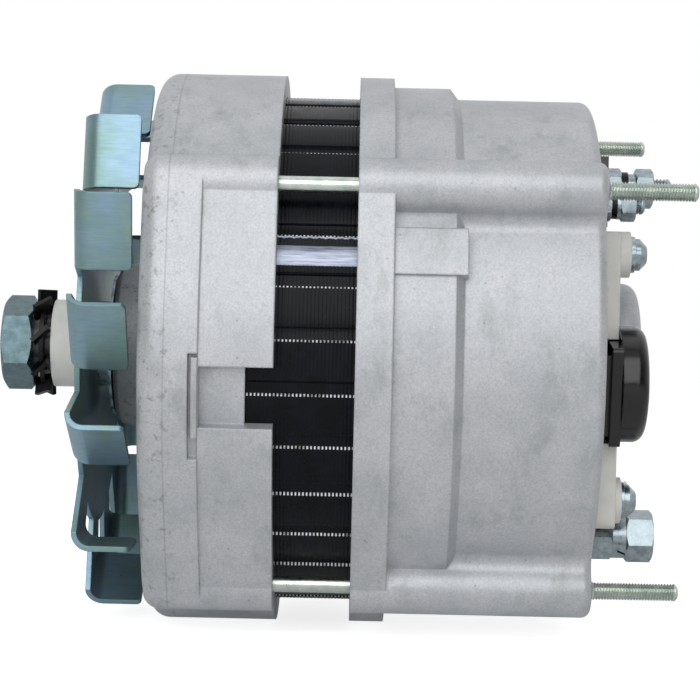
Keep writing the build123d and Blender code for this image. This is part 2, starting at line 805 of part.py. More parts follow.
def fan():
    """The pressed fan: a flat hub whose arms are each bent into a leaning blade."""
    x_front = x_fan_back - fan_sheet
    normal_reach = blade_circle_radius * cos(radians(blade_lean))
    chord_centre = blade_circle_radius * sin(radians(blade_lean))
    bend_plane = Plane((x_front, -normal_reach, chord_centre), x_dir=(1, 0, 0), z_dir=(0, 0, 1))
    blade = extrude(bend_plane * blade_section(), blade_chord / 2, both=True)
    blade = fillet(blade.edges().filter_by(Axis.Y).group_by(Axis.X)[-1], blade_corner)
    bend_start = -(normal_reach - fan_bend_radius - fan_sheet)
    low_angle, high_angle = arm_angles
    root_radius = fan_hub_radius - 2 * fan_sheet
    arm = Polygon(
        (bend_start, chord_centre - blade_chord / 2), toward(low_angle, root_radius),
        toward(high_angle, root_radius), (bend_start, chord_centre + blade_chord / 2),
        align=None,
    )
    arm = extrude(station(x_front) * arm, fan_sheet)
    wheel = bar(fan_hub_radius, x_front, x_fan_back)
    for angle in blade_angles:
        wheel += around(blade + arm, angle - blade_lean)
    wheel -= bar(shaft_journal_radius + seat_gap, x_front, x_fan_back)
    return wheel - key_slot(seat_gap)


def blade_section():
    """A blade's bent section: from the arm through the bend to the axial face, outside towards -y."""
    outer = fan_bend_radius + fan_sheet
    flat = Pos(outer + (fan_depth - outer) / 2, fan_sheet / 2) * Rectangle(fan_depth - outer, fan_sheet)
    quarter = Pos(-outer / 2, -outer / 2) * Rectangle(outer, outer)
    return flat + Pos(outer, outer) * ((Circle(outer) - Circle(fan_bend_radius)) & quarter)


def fan_collar():
    """The collar between the fan and the bearing's inner race, with its thin flange by the nose."""
    bore = shaft_journal_radius + seat_gap
    x_flange = x_nose - flange_to_nose
    collar = tube(collar_radius, bore, x_fan_back, x_front_bearing)
    collar += tube(collar_flange_radius, bore, x_flange - collar_flange, x_flange)
    return collar - key_slot(seat_gap)


def pulley_sleeve():
    """The spacer sleeve that stands in the pulley's place."""
    bore = shaft_journal_radius + seat_gap
    return tube(sleeve_radius, bore, x_sleeve_front, x_fan_back - fan_sheet) - key_slot(seat_gap)


def shaft_nut():
    """The hexagon nut on the shaft's threaded end."""
    bore = shaft_thread_radius + seat_gap
    return hex_nut(shaft_nut_af, bore, x_nut_front, x_nut_back, turn=shaft_nut_turn)


def lock_washer():
    """A toothed lock washer: every tooth is twisted, so that it bites on both faces."""
    x_centre = x_nut_back + lock_washer_space / 2
    half = washer_sheet / 2
    bore = shaft_thread_radius + seat_gap
    washer = tube(washer_body_radius, bore, x_centre - half, x_centre + half)
    depth = washer_radius - washer_body_radius + washer_tooth_root
    tooth = Box(washer_sheet, depth, washer_tooth_width).rotate(Axis.Y, washer_twist)
    tooth = Pos(x_centre, -(washer_radius - depth / 2), 0) * tooth
    for i in range(washer_teeth):
        washer += around(tooth, 360 / washer_teeth * i + 90)
    return washer


def terminal_plate():
    """The moulded plate on the rear face, with a post for each of its screws."""
    size_y = plate_near - plate_inner
    size_z = plate_top - plate_bottom
    centre = Pos(-(plate_near + plate_inner) / 2, (plate_top + plate_bottom) / 2)
    outline = centre * RectangleRounded(size_y, size_z, plate_rounding)
    plate = extrude(station(0) * outline, plate_thickness)
    for y, z, height, _ in screw_posts:
        plate += bar(screw_post_radius, 0, height, (y, z))
    plate -= around(base_block(part_gap, 0, 2 * base_thickness), regulator_angle)
    plate -= bar(output_room, 0, plate_thickness, output_place)
    for y, z, height, _ in screw_posts:
        plate -= bar(post_screw_radius + seat_gap, 0, height, (y, z))
    return plate


def base_block(grown, x_from, x_to):
    """The regulator base's outline, at the near side."""
    size_y = base_near - base_inner + 2 * grown
    size_z = base_top - base_bottom + 2 * grown
    centre = Pos(-(base_near + base_inner) / 2, (base_top + base_bottom) / 2)
    return extrude(station(x_from) * centre * Rectangle(size_y, size_z), x_to - x_from)


def brush_guides(x):
    """The room in the holder for one brush and its spring."""
    size_x = brush_width + 2 * guide_gap
    size_z = brush_breadth + 2 * guide_gap
    outer = slip_ring_radius + brush_length + brush_spring_room + guide_gap
    length = outer - holder_inner
    return Pos(x, -(outer + holder_inner) / 2, 0) * Box(size_x, length, size_z)


def brush_holder():
    """The regulator's moulding: stepped base outside, brush box inside the bracket."""
    base = base_block(0, base_foot, base_thickness)
    base = fillet(base.edges().filter_by(Axis.X), base_rounding)
    foot = base_block(-base_foot_inset, 0, base_foot)
    holder = base + foot + holder_block(0, -holder_depth, 0)
    for x in (front_ring_station, rear_ring_station):
        holder -= brush_guides(x)
    x_hole = base_thickness - regulator_screw_length - hole_spare
    for place in regulator_screw_places:
        holder -= bar(post_screw_radius + seat_gap, x_hole, base_thickness, place)
    return around(holder, regulator_angle)


def regulator_cap():
    """The round cap over the regulator: a cup with a rounded rim."""
    x_end = base_thickness + cap_length
    cap = turned(
        (base_thickness, 0), (base_thickness, cap_radius), (x_end, cap_radius), (x_end, 0),
        rounds=[((x_end, cap_radius), cap_rounding)],
    )
    cap -= bar(cap_radius - cap_wall, base_thickness, x_end - cap_wall)
    return around(Pos(0, -regulator_reach, 0) * cap, regulator_angle)


def regulator_module():
    """The potted electronics under the cap, standing on the base."""
    block = RectangleRounded(module_breadth, module_length, module_rounding)
    block = extrude(station(base_thickness) * Pos(-regulator_reach, 0) * block, module_height)
    return around(block, regulator_angle)


def regulator_screws():
    """Two pan-head screws under the cap."""
    return [
        around(
            pan_screw(regulator_screw_head, regulator_screw_height, post_screw_radius,
                      base_thickness, regulator_screw_length, place),
            regulator_angle,
        )
        for place in regulator_screw_places
    ]


def brush(x):
    """One carbon brush, hollowed to the slip ring, with the ring's running gap."""
    reach = slip_ring_radius + ball_gap
    block = Pos(x, -(reach + brush_length / 2), 0) * Box(brush_width, brush_length, brush_breadth)
    skirt = Pos(x, brush_skirt / 2 - reach, 0) * Box(brush_width, 2 * brush_skirt, brush_breadth)
    return around(block + skirt - bar(reach, x - brush_width, x + brush_width), regulator_angle)


def brush_spring(x):
    """One coil spring behind a brush, up to the end of its guide."""
    start = slip_ring_radius + ball_gap + brush_length + brush_spring_wire / 2 + seat_gap
    height = brush_spring_room - brush_spring_wire - 2 * seat_gap
    coil = Helix(height / brush_spring_turns, height, brush_spring_radius)
    section = (coil ^ 0) * RegularPolygon(brush_spring_wire / 2, 6)
    wire = sweep(section, path=coil, is_frenet=True)
    return around(Pos(x, -start, 0) * Rot(90, 0, 0) * wire, regulator_angle)


def post_screws():
    """The two screws that hold the terminal plate."""
    return [
        pan_screw(post_screw_head_radius, post_screw_head_height, post_screw_radius,
                  height + washer, height + washer + rear_wall, (y, z))
        for y, z, height, washer in screw_posts
    ]


def post_washers():
    """The washers under those screws."""
    return [
        tube(post_washer_radius, post_screw_radius + seat_gap, height, height + washer, (y, z))
        for y, z, height, washer in screw_posts
    ]


def stud(points, place):
    """A terminal stud turned to (x, radius) points, with a chamfer at its end."""
    x_end, radius = points[-1]
    end = [(x_end - stud_chamfer, radius), (x_end, radius - stud_chamfer), (x_end, 0)]
    return Pos(0, *place) * turned((points[0][0], 0), *points[:-1], *end)


def split_washer(outer, bore, x_from, x_to, place):
    """A spring washer: a ring with one slanting cut."""
    ring = tube(outer, bore, x_from, x_to, place)
    cut = Pos((x_from + x_to) / 2, -(outer + bore) / 2, 0) * Rot(0, 30, 0)
    cut = cut * Box(4 * (x_to - x_from), outer, washer_cut)
    return ring - Pos(0, *place) * cut.rotate(Axis.X, 45)


def insulating_bush(radius, x_from, x_to, flange_radius, x_flange, place):
    """Half of a flanged bush that keeps a stud off the rear wall: sleeve, then flange to x_flange."""
    bore = radius + seat_gap
    sleeve = radius + insulator_wall + seat_gap
    half = turned(
        (x_from, bore), (x_from, sleeve), (x_to, sleeve),
        (x_to, flange_radius), (x_flange, flange_radius), (x_flange, bore),
    )
    return Pos(0, *place) * half


def stud_insulators():
    """The bushes of the three studs: inner halves, the output's outer half and the shared block."""
    x_split = -rear_wall / 2
    x_inner = -rear_wall - insulator_inner
    studs = (
        (output_radius, output_flange_radius, output_place),
        (main_radius, main_head_radius + insulator_wall, main_place),
        (small_radius, small_head_radius, small_place),
    )
    bushes = [
        insulating_bush(radius, x_split - seat_gap, -rear_wall, flange, x_inner, place)
        for radius, flange, place in studs
    ]
    bushes.append(insulating_bush(output_radius, x_split + seat_gap, 0, output_flange_radius,
                                  output_flange, output_place))
    centre = Pos(-(block_near + block_inner) / 2, (block_top + block_bottom) / 2)
    plate = centre * Rectangle(block_near - block_inner, block_top - block_bottom)
    block = extrude(station(0) * plate, block_thickness)
    for radius, _, place in studs[1:]:
        sleeve = radius + insulator_wall + seat_gap
        block += bar(sleeve, x_split + seat_gap, 0, place)
        block -= bar(radius + seat_gap, x_split + seat_gap, block_thickness, place)
    return bushes + [block]


def rectifier_plate(x_from):
    """A heat-sink plate: a broad ring sector with its fixing holes."""
    outline = sector(rectifier_inner_radius, rectifier_outer_radius, *rectifier_angles)
    plate = extrude(station(x_from) * outline, rectifier_sheet)
    for angle in fixing_angles:
        place = toward(angle, fixing_circle_radius)
        plate -= bar(fixing_radius + bolt_gap, x_from, x_from + rectifier_sheet, place)
    return plate


def rectifier():
    """Positive and negative plates, the diodes pressed into them, insulators and screws."""
    x_positive_rear = x_positive + rectifier_sheet
    x_negative_rear = x_negative + rectifier_sheet
    positive = rectifier_plate(x_positive)
    negative = rectifier_plate(x_negative)
    diodes = []
    for i, angle in enumerate(diode_angles):
        place = toward(angle, diode_circle_radius)
        if i % 2:
            positive -= bar(diode_radius + seat_gap, x_positive, x_positive_rear, place)
            diodes.append(bar(diode_radius, x_positive_rear - diode_length, x_positive_rear, place))
        else:
            negative -= bar(diode_radius + seat_gap, x_negative, x_negative_rear, place)
            diodes.append(bar(diode_radius, x_negative, x_negative + diode_length, place))
    positive -= bar(output_radius + seat_gap, x_positive, x_positive_rear, output_place)
    negative -= bar(output_plate_room, x_negative, x_negative_rear, output_place)
    insulators, screws = [], []
    bore = fixing_radius + bolt_gap
    for angle in fixing_angles:
        place = toward(angle, fixing_circle_radius)
        insulators.append(tube(fixing_insulator_radius, bore, x_positive_rear, -rear_wall, place))
        insulators.append(tube(fixing_insulator_radius, bore, x_negative_rear, x_positive, place))
        head = bar(fixing_head_radius, x_negative - fixing_head_height, x_negative, place)
        screws.append(head + bar(fixing_radius, x_negative, fixing_depth - rear_wall, place))
    return positive, negative, diodes, insulators, screws


def stacked(place, radius, x_base, *layers):
    """A stud's nuts, washers and spring washers, outwards from x_base, and where they end.

    Each layer is (kind, thickness, size, turn).
    """
    bore = radius + seat_gap
    nuts, washers, springs = [], [], []
    for kind, thickness, size, turn in layers:
        x_top = x_base + thickness
        if kind == "nut":
            nuts.append(hex_nut(size, bore, x_base, x_top, place, turn))
        elif kind == "split":
            springs.append(split_washer(size, bore, x_base, x_top, place))
        else:
            washers.append(tube(size, bore, x_base, x_top, place))
        x_base = x_top
    return nuts, washers, springs, x_base


def terminals():
    """The three terminal studs with their nuts and washers, by node name."""
    output_nuts, output_washers, output_springs, x_output_top = stacked(
        output_place, output_radius, output_flange,
        ("nut", output_low_nut, output_flats, 0),
        ("washer", output_washer, output_washer_radius, 0),
        ("split", output_split, output_washer_radius, 0),
        ("nut", output_top_nut, output_flats, output_top_turn),
    )
    main_nuts, main_washers, main_springs, x_main_top = stacked(
        main_place, main_radius, block_thickness,
        ("washer", main_low_washer, main_low_washer_radius, 0),
        ("nut", main_low_nut, main_flats, main_turn),
        ("split", main_split, main_split_radius, 0),
        ("washer", main_washer, main_washer_radius, 0),
        ("nut", main_top_nut, main_flats, main_turn),
    )
    small_nuts, small_washers, small_springs, x_small_top = stacked(
        small_place, small_radius, block_thickness,
        ("nut", small_low_nut, small_flats, small_turn),
        ("split", small_split, small_split_radius, 0),
        ("washer", small_washer, small_washer_radius, 0),
        ("nut", small_top_nut, small_flats, small_turn),
    )
    x_head = -rear_wall - insulator_inner
    x_neck = x_main_top + part_gap
    output_stud = stud([
        (x_positive - output_head_height, output_head_radius), (x_positive, output_head_radius),
        (x_positive, output_radius), (x_output_top - output_sunk, output_radius),
    ], output_place)
    main_stud = stud([
        (x_head - main_head_height, main_head_radius), (x_head, main_head_radius),
        (x_head, main_waist_radius), (x_neck, main_waist_radius),
        (x_neck, main_radius), (x_main_top + main_free_end, main_radius),
    ], main_place)
    small_stud = stud([
        (x_head - small_head_height, small_head_radius), (x_head, small_head_radius),
        (x_head, small_radius), (x_small_top + small_free_end, small_radius),
    ], small_place)
    return {
        "output_stud": output_stud,
        "output_nuts": output_nuts,
        "output_washers": output_washers + output_springs,
        "main_terminal_stud": main_stud,
        "main_terminal_nuts": main_nuts,
        "main_terminal_washers": main_washers,
        "small_terminal_stud": small_stud,
        "small_terminal_nuts": small_nuts,
        "small_terminal_washers": small_washers,
        "terminal_spring_washers": main_springs + small_springs,
        "stud_insulators": stud_insulators(),
    }


def all_nodes():
    """Every sub-part by its node's name."""
    front = ball_bearing(
        front_bearing_bore_radius + seat_gap, front_bearing_outer_radius, front_bearing_width,
        front_ball_radius, front_ball_count, x_front_bearing,
    )
    rear = ball_bearing(
        rear_bearing_bore_radius + seat_gap, rear_bearing_outer_radius, rear_bearing_width,
        rear_ball_radius, rear_ball_count, x_rear_bearing,
    )
    front_pole = claw_pole()
    core, spool, coil = field_winding()
    positive, negative, diodes, insulators, screws = rectifier()
    nodes = {
        "drive_end_bracket": drive_end_bracket(),
        "slip_ring_end_bracket": slip_ring_end_bracket(),
        "stator_core": stator_core(),
        "stator_windings": stator_windings(),
        "through_bolts": through_bolts(),
        "front_bearing_inner_race": front[0],
        "front_bearing_outer_race": front[1],
        "front_bearing_balls": front[2],
        "front_bearing_cage": front[3],
        "rear_bearing_inner_race": rear[0],
        "rear_bearing_outer_race": rear[1],
        "rear_bearing_balls": rear[2],
        "rear_bearing_cage": rear[3],
        "bearing_retainer": bearing_retainer(),
        "retainer_screws": retainer_screws(),
        "rotor_shaft": rotor_shaft(),
        "shaft_key": key_slot(0),
        "front_claw_pole": front_pole,
        "rear_claw_pole": rear_claw_pole(front_pole),
        "rotor_core": core,
        "field_bobbin": spool,
        "field_coil": coil,
        "slip_ring_sleeve": slip_ring_sleeve(),
        "slip_rings": slip_rings(),
        "fan": fan(),
        "fan_collar": fan_collar(),
        "pulley_spacer_sleeve": pulley_sleeve(),
        "lock_washer": lock_washer(),
        "shaft_nut": shaft_nut(),
        "positive_plate": positive,
        "negative_plate": negative,
        "rectifier_diodes": diodes,
        "rectifier_insulators": insulators,
        "rectifier_screws": screws,
        "terminal_plate": terminal_plate(),
        "terminal_plate_screws": post_screws(),
        "terminal_plate_washers": post_washers(),
        "brush_holder": brush_holder(),
        "regulator_cap": regulator_cap(),
        "regulator_module": regulator_module(),
        "regulator_screws": regulator_screws(),
        "front_brush": brush(front_ring_station),
        "rear_brush": brush(rear_ring_station),
        "front_brush_spring": brush_spring(front_ring_station),
        "rear_brush_spring": brush_spring(rear_ring_station),
    }
    nodes.update(terminals())
    return nodes


os.makedirs("parts", exist_ok=True)
for name, solids in all_nodes().items():
    shape = Compound(children=solids) if isinstance(solids, list) else solids
    export_step(shape, f"parts/{name}.step")
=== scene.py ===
import json

import bpy
import numpy as np
from mathutils import Matrix, Vector


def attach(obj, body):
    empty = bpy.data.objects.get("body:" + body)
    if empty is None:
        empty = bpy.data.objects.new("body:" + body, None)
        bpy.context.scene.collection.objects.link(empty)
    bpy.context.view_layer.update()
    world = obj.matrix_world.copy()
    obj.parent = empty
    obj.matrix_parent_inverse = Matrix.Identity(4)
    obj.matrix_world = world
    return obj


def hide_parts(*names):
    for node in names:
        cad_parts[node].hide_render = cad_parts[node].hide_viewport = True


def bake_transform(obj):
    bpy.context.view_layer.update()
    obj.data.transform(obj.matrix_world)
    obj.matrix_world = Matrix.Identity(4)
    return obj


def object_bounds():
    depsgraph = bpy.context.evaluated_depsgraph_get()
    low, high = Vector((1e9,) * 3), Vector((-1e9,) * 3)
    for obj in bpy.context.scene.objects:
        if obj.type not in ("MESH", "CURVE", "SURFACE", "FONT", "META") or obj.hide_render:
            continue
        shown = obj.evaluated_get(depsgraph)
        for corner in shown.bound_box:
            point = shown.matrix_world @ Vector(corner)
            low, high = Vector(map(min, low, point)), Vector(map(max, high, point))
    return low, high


# Generator alternator head, seen from its near side. Lengths are in metres, X runs along the
# shaft with the pulley end at -X, and the near side faces -Y. An angle round the shaft is 0 at
# the near side and 90 degrees at the top.

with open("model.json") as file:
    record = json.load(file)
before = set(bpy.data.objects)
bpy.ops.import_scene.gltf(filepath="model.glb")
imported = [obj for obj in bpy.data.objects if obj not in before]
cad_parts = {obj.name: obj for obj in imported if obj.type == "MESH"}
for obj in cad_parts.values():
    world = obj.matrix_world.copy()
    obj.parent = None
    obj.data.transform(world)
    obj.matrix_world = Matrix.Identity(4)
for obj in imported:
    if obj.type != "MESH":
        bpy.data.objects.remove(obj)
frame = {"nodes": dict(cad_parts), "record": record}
cad_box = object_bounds()

MM = 0.001

# Stator core, in millimetres and degrees: ridges between grooves all round, and four weld bands
STACK_FROM, STACK_TO = -94.5, -58.5
STACK_RADIUS = 73.2
RIDGES = 32
RIDGE_ANGLE = 360 / RIDGES
FIRST_GROOVE = 2.9
# The sheets' edges get a painted highlight at a corner this far
GLINT_CORNER = 0.872     # of the way from one groove to the next, which is on the next one's wall
WELD_ANGLES = (19.5, 79.5, 199.5, 259.5)

# Parting line of the front bracket's die
PARTING_X = -115.6


# Materials

def linear(hex_colour):
    """An sRGB hex colour as a linear RGBA colour."""
    channels = np.array([int(hex_colour[i:i + 2], 16) for i in (1, 3, 5)]) / 255
    low, high = channels / 12.92, ((channels + 0.055) / 1.055) ** 2.4
    return (*np.where(channels <= 0.04045, low, high), 1.0)


def add(tree, kind, inputs, **settings):
    """Add a node: settings are its properties, and inputs gives each input a value, a node or a socket."""
    node = tree.nodes.new("ShaderNode" + kind)
    for name, value in settings.items():
        setattr(node, name, value)
    for name, value in inputs.items():
        if isinstance(value, bpy.types.Node):
            value = next(output for output in value.outputs if output.enabled)
        if isinstance(value, bpy.types.NodeSocket):
            tree.links.new(value, node.inputs[name])
        else:
            node.inputs[name].default_value = value
    return node


def finish(name, recipe, edge=0.25, **uniform):
    """A material: the recipe gives its colour, roughness and height, and uniform its other sockets.

    The edge is the radius in millimetres to which sharp corners are worn or cast.
    """
    material = bpy.data.materials.new(name)
    material.use_nodes = True
    tree = material.node_tree
    tree.nodes.clear()
    colour, roughness, height, depth = recipe(tree, add(tree, "TexCoord", {}).outputs["Object"])
    corner = add(tree, "Bevel", {"Radius": edge * MM}, samples=4)
    relief = add(tree, "Bump", {"Height": height, "Distance": depth, "Normal": corner})
    surface = {key.replace("_", " "): value for key, value in uniform.items()}
    shader = add(tree, "BsdfPrincipled", {
        "Base Color": colour, "Roughness": roughness, "Normal": relief, **surface,
    })
    add(tree, "OutputMaterial", {"Surface": shader})
    return material


def cast_skin(tree, place):
    # Pressure-cast aluminium, blasted: a pale grey skin with soft clouds of handling, fine grit, thin
    # oil smears and a few dark specks. The front rim is soiled where it was knocked, and the die's
    # parting line is a hair-thin shade along it.
    cloud = add(tree, "TexNoise", {"Vector": place, "Scale": 1 / (16 * MM), "Detail": 5.0, "Roughness": 0.6})
    drawn = add(tree, "Mapping", {"Vector": place, "Scale": (1 / (9 * MM), 1 / (9 * MM), 1 / (22 * MM))})
    smear = add(tree, "TexNoise", {"Vector": drawn, "Scale": 1.0, "Detail": 6.0, "Roughness": 0.7})
    grit = add(tree, "TexNoise", {"Vector": place, "Scale": 1 / (0.5 * MM), "Detail": 3.0, "Roughness": 0.6})
    speck = add(tree, "TexVoronoi", {"Vector": place, "Scale": 1 / (3.4 * MM)})
    rare = add(tree, "TexNoise", {"Vector": place, "Scale": 1 / (7 * MM), "Detail": 1.0})
    along = add(tree, "SeparateXYZ", {"Vector": place})
    off_line = add(tree, "Math", {0: along.outputs["X"], 1: -PARTING_X * MM}, operation="ADD")
    off_line = add(tree, "Math", {0: off_line}, operation="ABSOLUTE")
    line = add(tree, "MapRange", {
        "Value": off_line, "From Min": 0.1 * MM, "From Max": 0.3 * MM, "To Min": 0.3, "To Max": 0.0,
    })
    tone = add(tree, "MapRange", {"Value": cloud, "From Min": 0.34, "From Max": 0.66})
    skin = add(tree, "Mix", {0: tone, 6: linear("#b2b5b9"), 7: linear("#c4c6ca")}, data_type="RGBA")
    stain = add(tree, "MapRange", {"Value": smear, "From Min": 0.54, "From Max": 0.76, "To Max": 0.6})
    skin = add(tree, "Mix", {0: stain, 6: skin, 7: linear("#8c908c")}, data_type="RGBA")
    shade = add(tree, "MapRange", {
        "Value": grit, "From Min": 0.36, "From Max": 0.62, "To Min": 0.3, "To Max": 0.0,
    })
    skin = add(tree, "Mix", {0: shade, 6: skin, 7: linear("#84878c")}, data_type="RGBA")
    near = add(tree, "MapRange", {
        "Value": speck.outputs["Distance"], "From Min": 0.05, "From Max": 0.13, "To Min": 1.0, "To Max": 0.0,
    })
    some = add(tree, "MapRange", {"Value": rare, "From Min": 0.56, "From Max": 0.62, "To Max": 0.42})
    dots = add(tree, "Math", {0: near, 1: some}, operation="MULTIPLY")
    skin = add(tree, "Mix", {0: dots, 6: skin, 7: linear("#5c5f60")}, data_type="RGBA")
    skin = add(tree, "Mix", {0: line, 6: skin, 7: linear("#6e7174")}, data_type="RGBA")
    knock = add(tree, "TexNoise", {
        "Vector": place, "Scale": 1 / (2.2 * MM), "Detail": 5.0, "Roughness": 0.65,
    })
    rim = add(tree, "MapRange", {
        "Value": along.outputs["X"], "From Min": -117 * MM, "From Max": -111 * MM,
        "To Min": 0.6, "To Max": 0.12,
    })
    soiled = add(tree, "MapRange", {"Value": knock, "From Min": 0.56, "From Max": 0.66})
    soiled = add(tree, "Math", {0: soiled, 1: rim}, operation="MULTIPLY")
    skin = add(tree, "Mix", {0: soiled, 6: skin, 7: linear("#75766f")}, data_type="RGBA")
    gloss = add(tree, "MapRange", {
        "Value": cloud, "From Min": 0.3, "From Max": 0.7, "To Min": 0.44, "To Max": 0.54,
    })
    return skin, gloss, grit, 0.05 * MM


def lamination_lacquer(tree, place):
    # Electrical sheet, stacked and dipped in black lacquer: deep black and glossy, with a thin grey
    # bloom where dust lies. The sheets' edges are in the surface itself. Where they turn up into the
    # groove above, a painted highlight shows each sheet's edge as a bright dot.
    bloom = add(tree, "TexNoise", {"Vector": place, "Scale": 1 / (5 * MM), "Detail": 4.0, "Roughness": 0.65})
    runs = add(tree, "TexNoise", {"Vector": place, "Scale": 1 / (1.2 * MM), "Detail": 2.0})
    dust = add(tree, "MapRange", {"Value": bloom, "From Min": 0.42, "From Max": 0.72})
    skin = add(tree, "Mix", {0: dust, 6: linear("#04060a"), 7: linear("#0b0f18")}, data_type="RGBA")
    axis = add(tree, "SeparateXYZ", {"Vector": place})
    ahead = add(tree, "Math", {0: axis.outputs["Y"], 1: -1.0}, operation="MULTIPLY")
    turn = add(tree, "Math", {0: axis.outputs["Z"], 1: ahead}, operation="ARCTAN2")
    ridge = add(tree, "Math", {
        0: turn, 1: RIDGES / (2 * np.pi), 2: -FIRST_GROOVE / RIDGE_ANGLE,
    }, operation="MULTIPLY_ADD")
    ridge = add(tree, "Math", {0: ridge}, operation="FRACT")
    # Painted highlight, from here to the mix below: near-white dots, one on each sheet's edge, along one
    # corner of every ridge, fainter in random patches
    off_corner = add(tree, "Math", {0: ridge, 1: GLINT_CORNER}, operation="SUBTRACT")
    off_corner = add(tree, "Math", {0: off_corner}, operation="ABSOLUTE")
    corner = add(tree, "MapRange", {
        "Value": off_corner, "From Min": 0.014, "From Max": 0.026, "To Min": 1.0, "To Max": 0.0,
    })
    sheets = add(tree, "Math", {0: axis.outputs["X"], 1: 2 * np.pi / MM}, operation="MULTIPLY")
    sheets = add(tree, "Math", {0: sheets}, operation="COSINE")
    dots = add(tree, "MapRange", {"Value": sheets, "From Min": -0.1, "From Max": 0.6})
    glint = add(tree, "Math", {0: corner, 1: dots}, operation="MULTIPLY")
    glint_patches = add(tree, "MapRange", {"Value": bloom, "From Min": 0.4, "From Max": 0.5, "To Min": 0.35})
    glint = add(tree, "Math", {0: glint, 1: glint_patches}, operation="MULTIPLY")
    skin = add(tree, "Mix", {0: glint, 6: skin, 7: linear("#e9eaec")}, data_type="RGBA")
    gloss = add(tree, "MapRange", {
        "Value": bloom, "From Min": 0.35, "From Max": 0.7, "To Min": 0.24, "To Max": 0.4,
    })
    return skin, gloss, runs, 0.012 * MM


def bare_weld(tree, place):
    # Steel weld band, ground flush and left bare: pale and silky, in blue-grey streaks along it.
    draw = add(tree, "Mapping", {"Vector": place, "Scale": (1 / (6 * MM), 1 / (0.4 * MM), 1 / (0.4 * MM))})
    marks = add(tree, "TexNoise", {"Vector": draw, "Scale": 1.0, "Detail": 3.0})
    tone = add(tree, "MapRange", {"Value": marks, "From Min": 0.35, "From Max": 0.65})
    skin = add(tree, "Mix", {0: tone, 6: linear("#747a89"), 7: linear("#9da3b2")}, data_type="RGBA")
    gloss = add(tree, "MapRange", {
        "Value": marks, "From Min": 0.3, "From Max": 0.7, "To Min": 0.26, "To Max": 0.4,
    })
    return skin, gloss, marks, 0.01 * MM


def enamelled_wire(tree, place):
    # Copper wire under amber enamel, wound tight: bands 1.1 mm wide run with the wire.
    wound = add(tree, "Mapping", {"Vector": place, "Scale": (1 / (6 * MM), 1 / (1.1 * MM), 1 / (1.1 * MM))})
    wire = add(tree, "TexNoise", {"Vector": wound, "Scale": 1.0, "Detail": 1.0})
    tone = add(tree, "MapRange", {"Value": wire, "From Min": 0.4, "From Max": 0.6})
    skin = add(tree, "Mix", {0: tone, 6: linear("#5a2410"), 7: linear("#b8622c")}, data_type="RGBA")
    gloss = add(tree, "MapRange", {
        "Value": wire, "From Min": 0.3, "From Max": 0.7, "To Min": 0.4, "To Max": 0.2,
    })
    return skin, gloss, wire, 0.25 * MM


def zinc_plate(tree, place):
    # Bright zinc on cold-drawn steel: silver with a green and straw tint, and fine draw marks along it.
    tint = add(tree, "TexNoise", {"Vector": place, "Scale": 1 / (4 * MM), "Detail": 3.0, "Roughness": 0.6})
    draw = add(tree, "Mapping", {"Vector": place, "Scale": (1 / (4 * MM), 1 / (0.4 * MM), 1 / (0.4 * MM))})
    marks = add(tree, "TexNoise", {"Vector": draw, "Scale": 1.0, "Detail": 2.0})
    tone = add(tree, "MapRange", {"Value": tint, "From Min": 0.35, "From Max": 0.65})
    skin = add(tree, "Mix", {0: tone, 6: linear("#b4bfb8"), 7: linear("#cdd4cc")}, data_type="RGBA")
    gloss = add(tree, "MapRange", {
        "Value": marks, "From Min": 0.3, "From Max": 0.7, "To Min": 0.22, "To Max": 0.36,
    })
    return skin, gloss, marks, 0.01 * MM


def screw_zinc(tree, place):
    # Blue-passivated zinc on cold-headed screws and washers: pale steel-blue, lighter and darker in soft
    # blotches.
    tint = add(tree, "TexNoise", {"Vector": place, "Scale": 1 / (2.2 * MM), "Detail": 2.0})
    tone = add(tree, "MapRange", {"Value": tint, "From Min": 0.25, "From Max": 0.75})
    skin = add(tree, "Mix", {0: tone, 6: linear("#7d8b92"), 7: linear("#aebabf")}, data_type="RGBA")
    gloss = add(tree, "MapRange", {
        "Value": tint, "From Min": 0.3, "From Max": 0.7, "To Min": 0.2, "To Max": 0.34,
    })
    return skin, gloss, tint, 0.01 * MM


def passivated_zinc(tree, place):
    # Pressed sheet with blue-passivated zinc: teal and steel-blue clouds where the bath ran off, fine
    # rolling scratches, and small round bruises from tumbling.
    tint = add(tree, "TexNoise", {"Vector": place, "Scale": 1 / (26 * MM), "Detail": 3.0, "Roughness": 0.55})
    run = add(tree, "TexNoise", {"Vector": place, "Scale": 1 / (6 * MM), "Detail": 3.0, "Roughness": 0.6})
    rolled = add(tree, "Mapping", {"Vector": place, "Scale": (1 / (5 * MM), 1 / (1.6 * MM), 1 / (0.4 * MM))})
    scratch = add(tree, "TexNoise", {"Vector": rolled, "Scale": 1.0, "Detail": 3.0, "Roughness": 0.6})
    bruise = add(tree, "TexVoronoi", {"Vector": place, "Scale": 1 / (7 * MM)})
    tone = add(tree, "MapRange", {"Value": tint, "From Min": 0.42, "From Max": 0.58})
    skin = add(tree, "Mix", {0: tone, 6: linear("#7d9a98"), 7: linear("#88a4b6")}, data_type="RGBA")
    warm = add(tree, "MapRange", {"Value": run, "From Min": 0.52, "From Max": 0.75, "To Max": 0.55})
    skin = add(tree, "Mix", {0: warm, 6: skin, 7: linear("#8fa690")}, data_type="RGBA")
    thin = add(tree, "MapRange", {
        "Value": scratch, "From Min": 0.36, "From Max": 0.56, "To Min": 0.12, "To Max": 0.0,
    })
    skin = add(tree, "Mix", {0: thin, 6: skin, 7: linear("#56707f")}, data_type="RGBA")
    spot = add(tree, "MapRange", {
        "Value": bruise.outputs["Distance"], "From Min": 0.03, "From Max": 0.08, "To Min": 0.5, "To Max": 0.0,
    })
    skin = add(tree, "Mix", {0: spot, 6: skin, 7: linear("#3f4f57")}, data_type="RGBA")
    gloss = add(tree, "MapRange", {
        "Value": scratch, "From Min": 0.3, "From Max": 0.7, "To Min": 0.44, "To Max": 0.34,
    })
    return skin, gloss, tint, 0.3 * MM


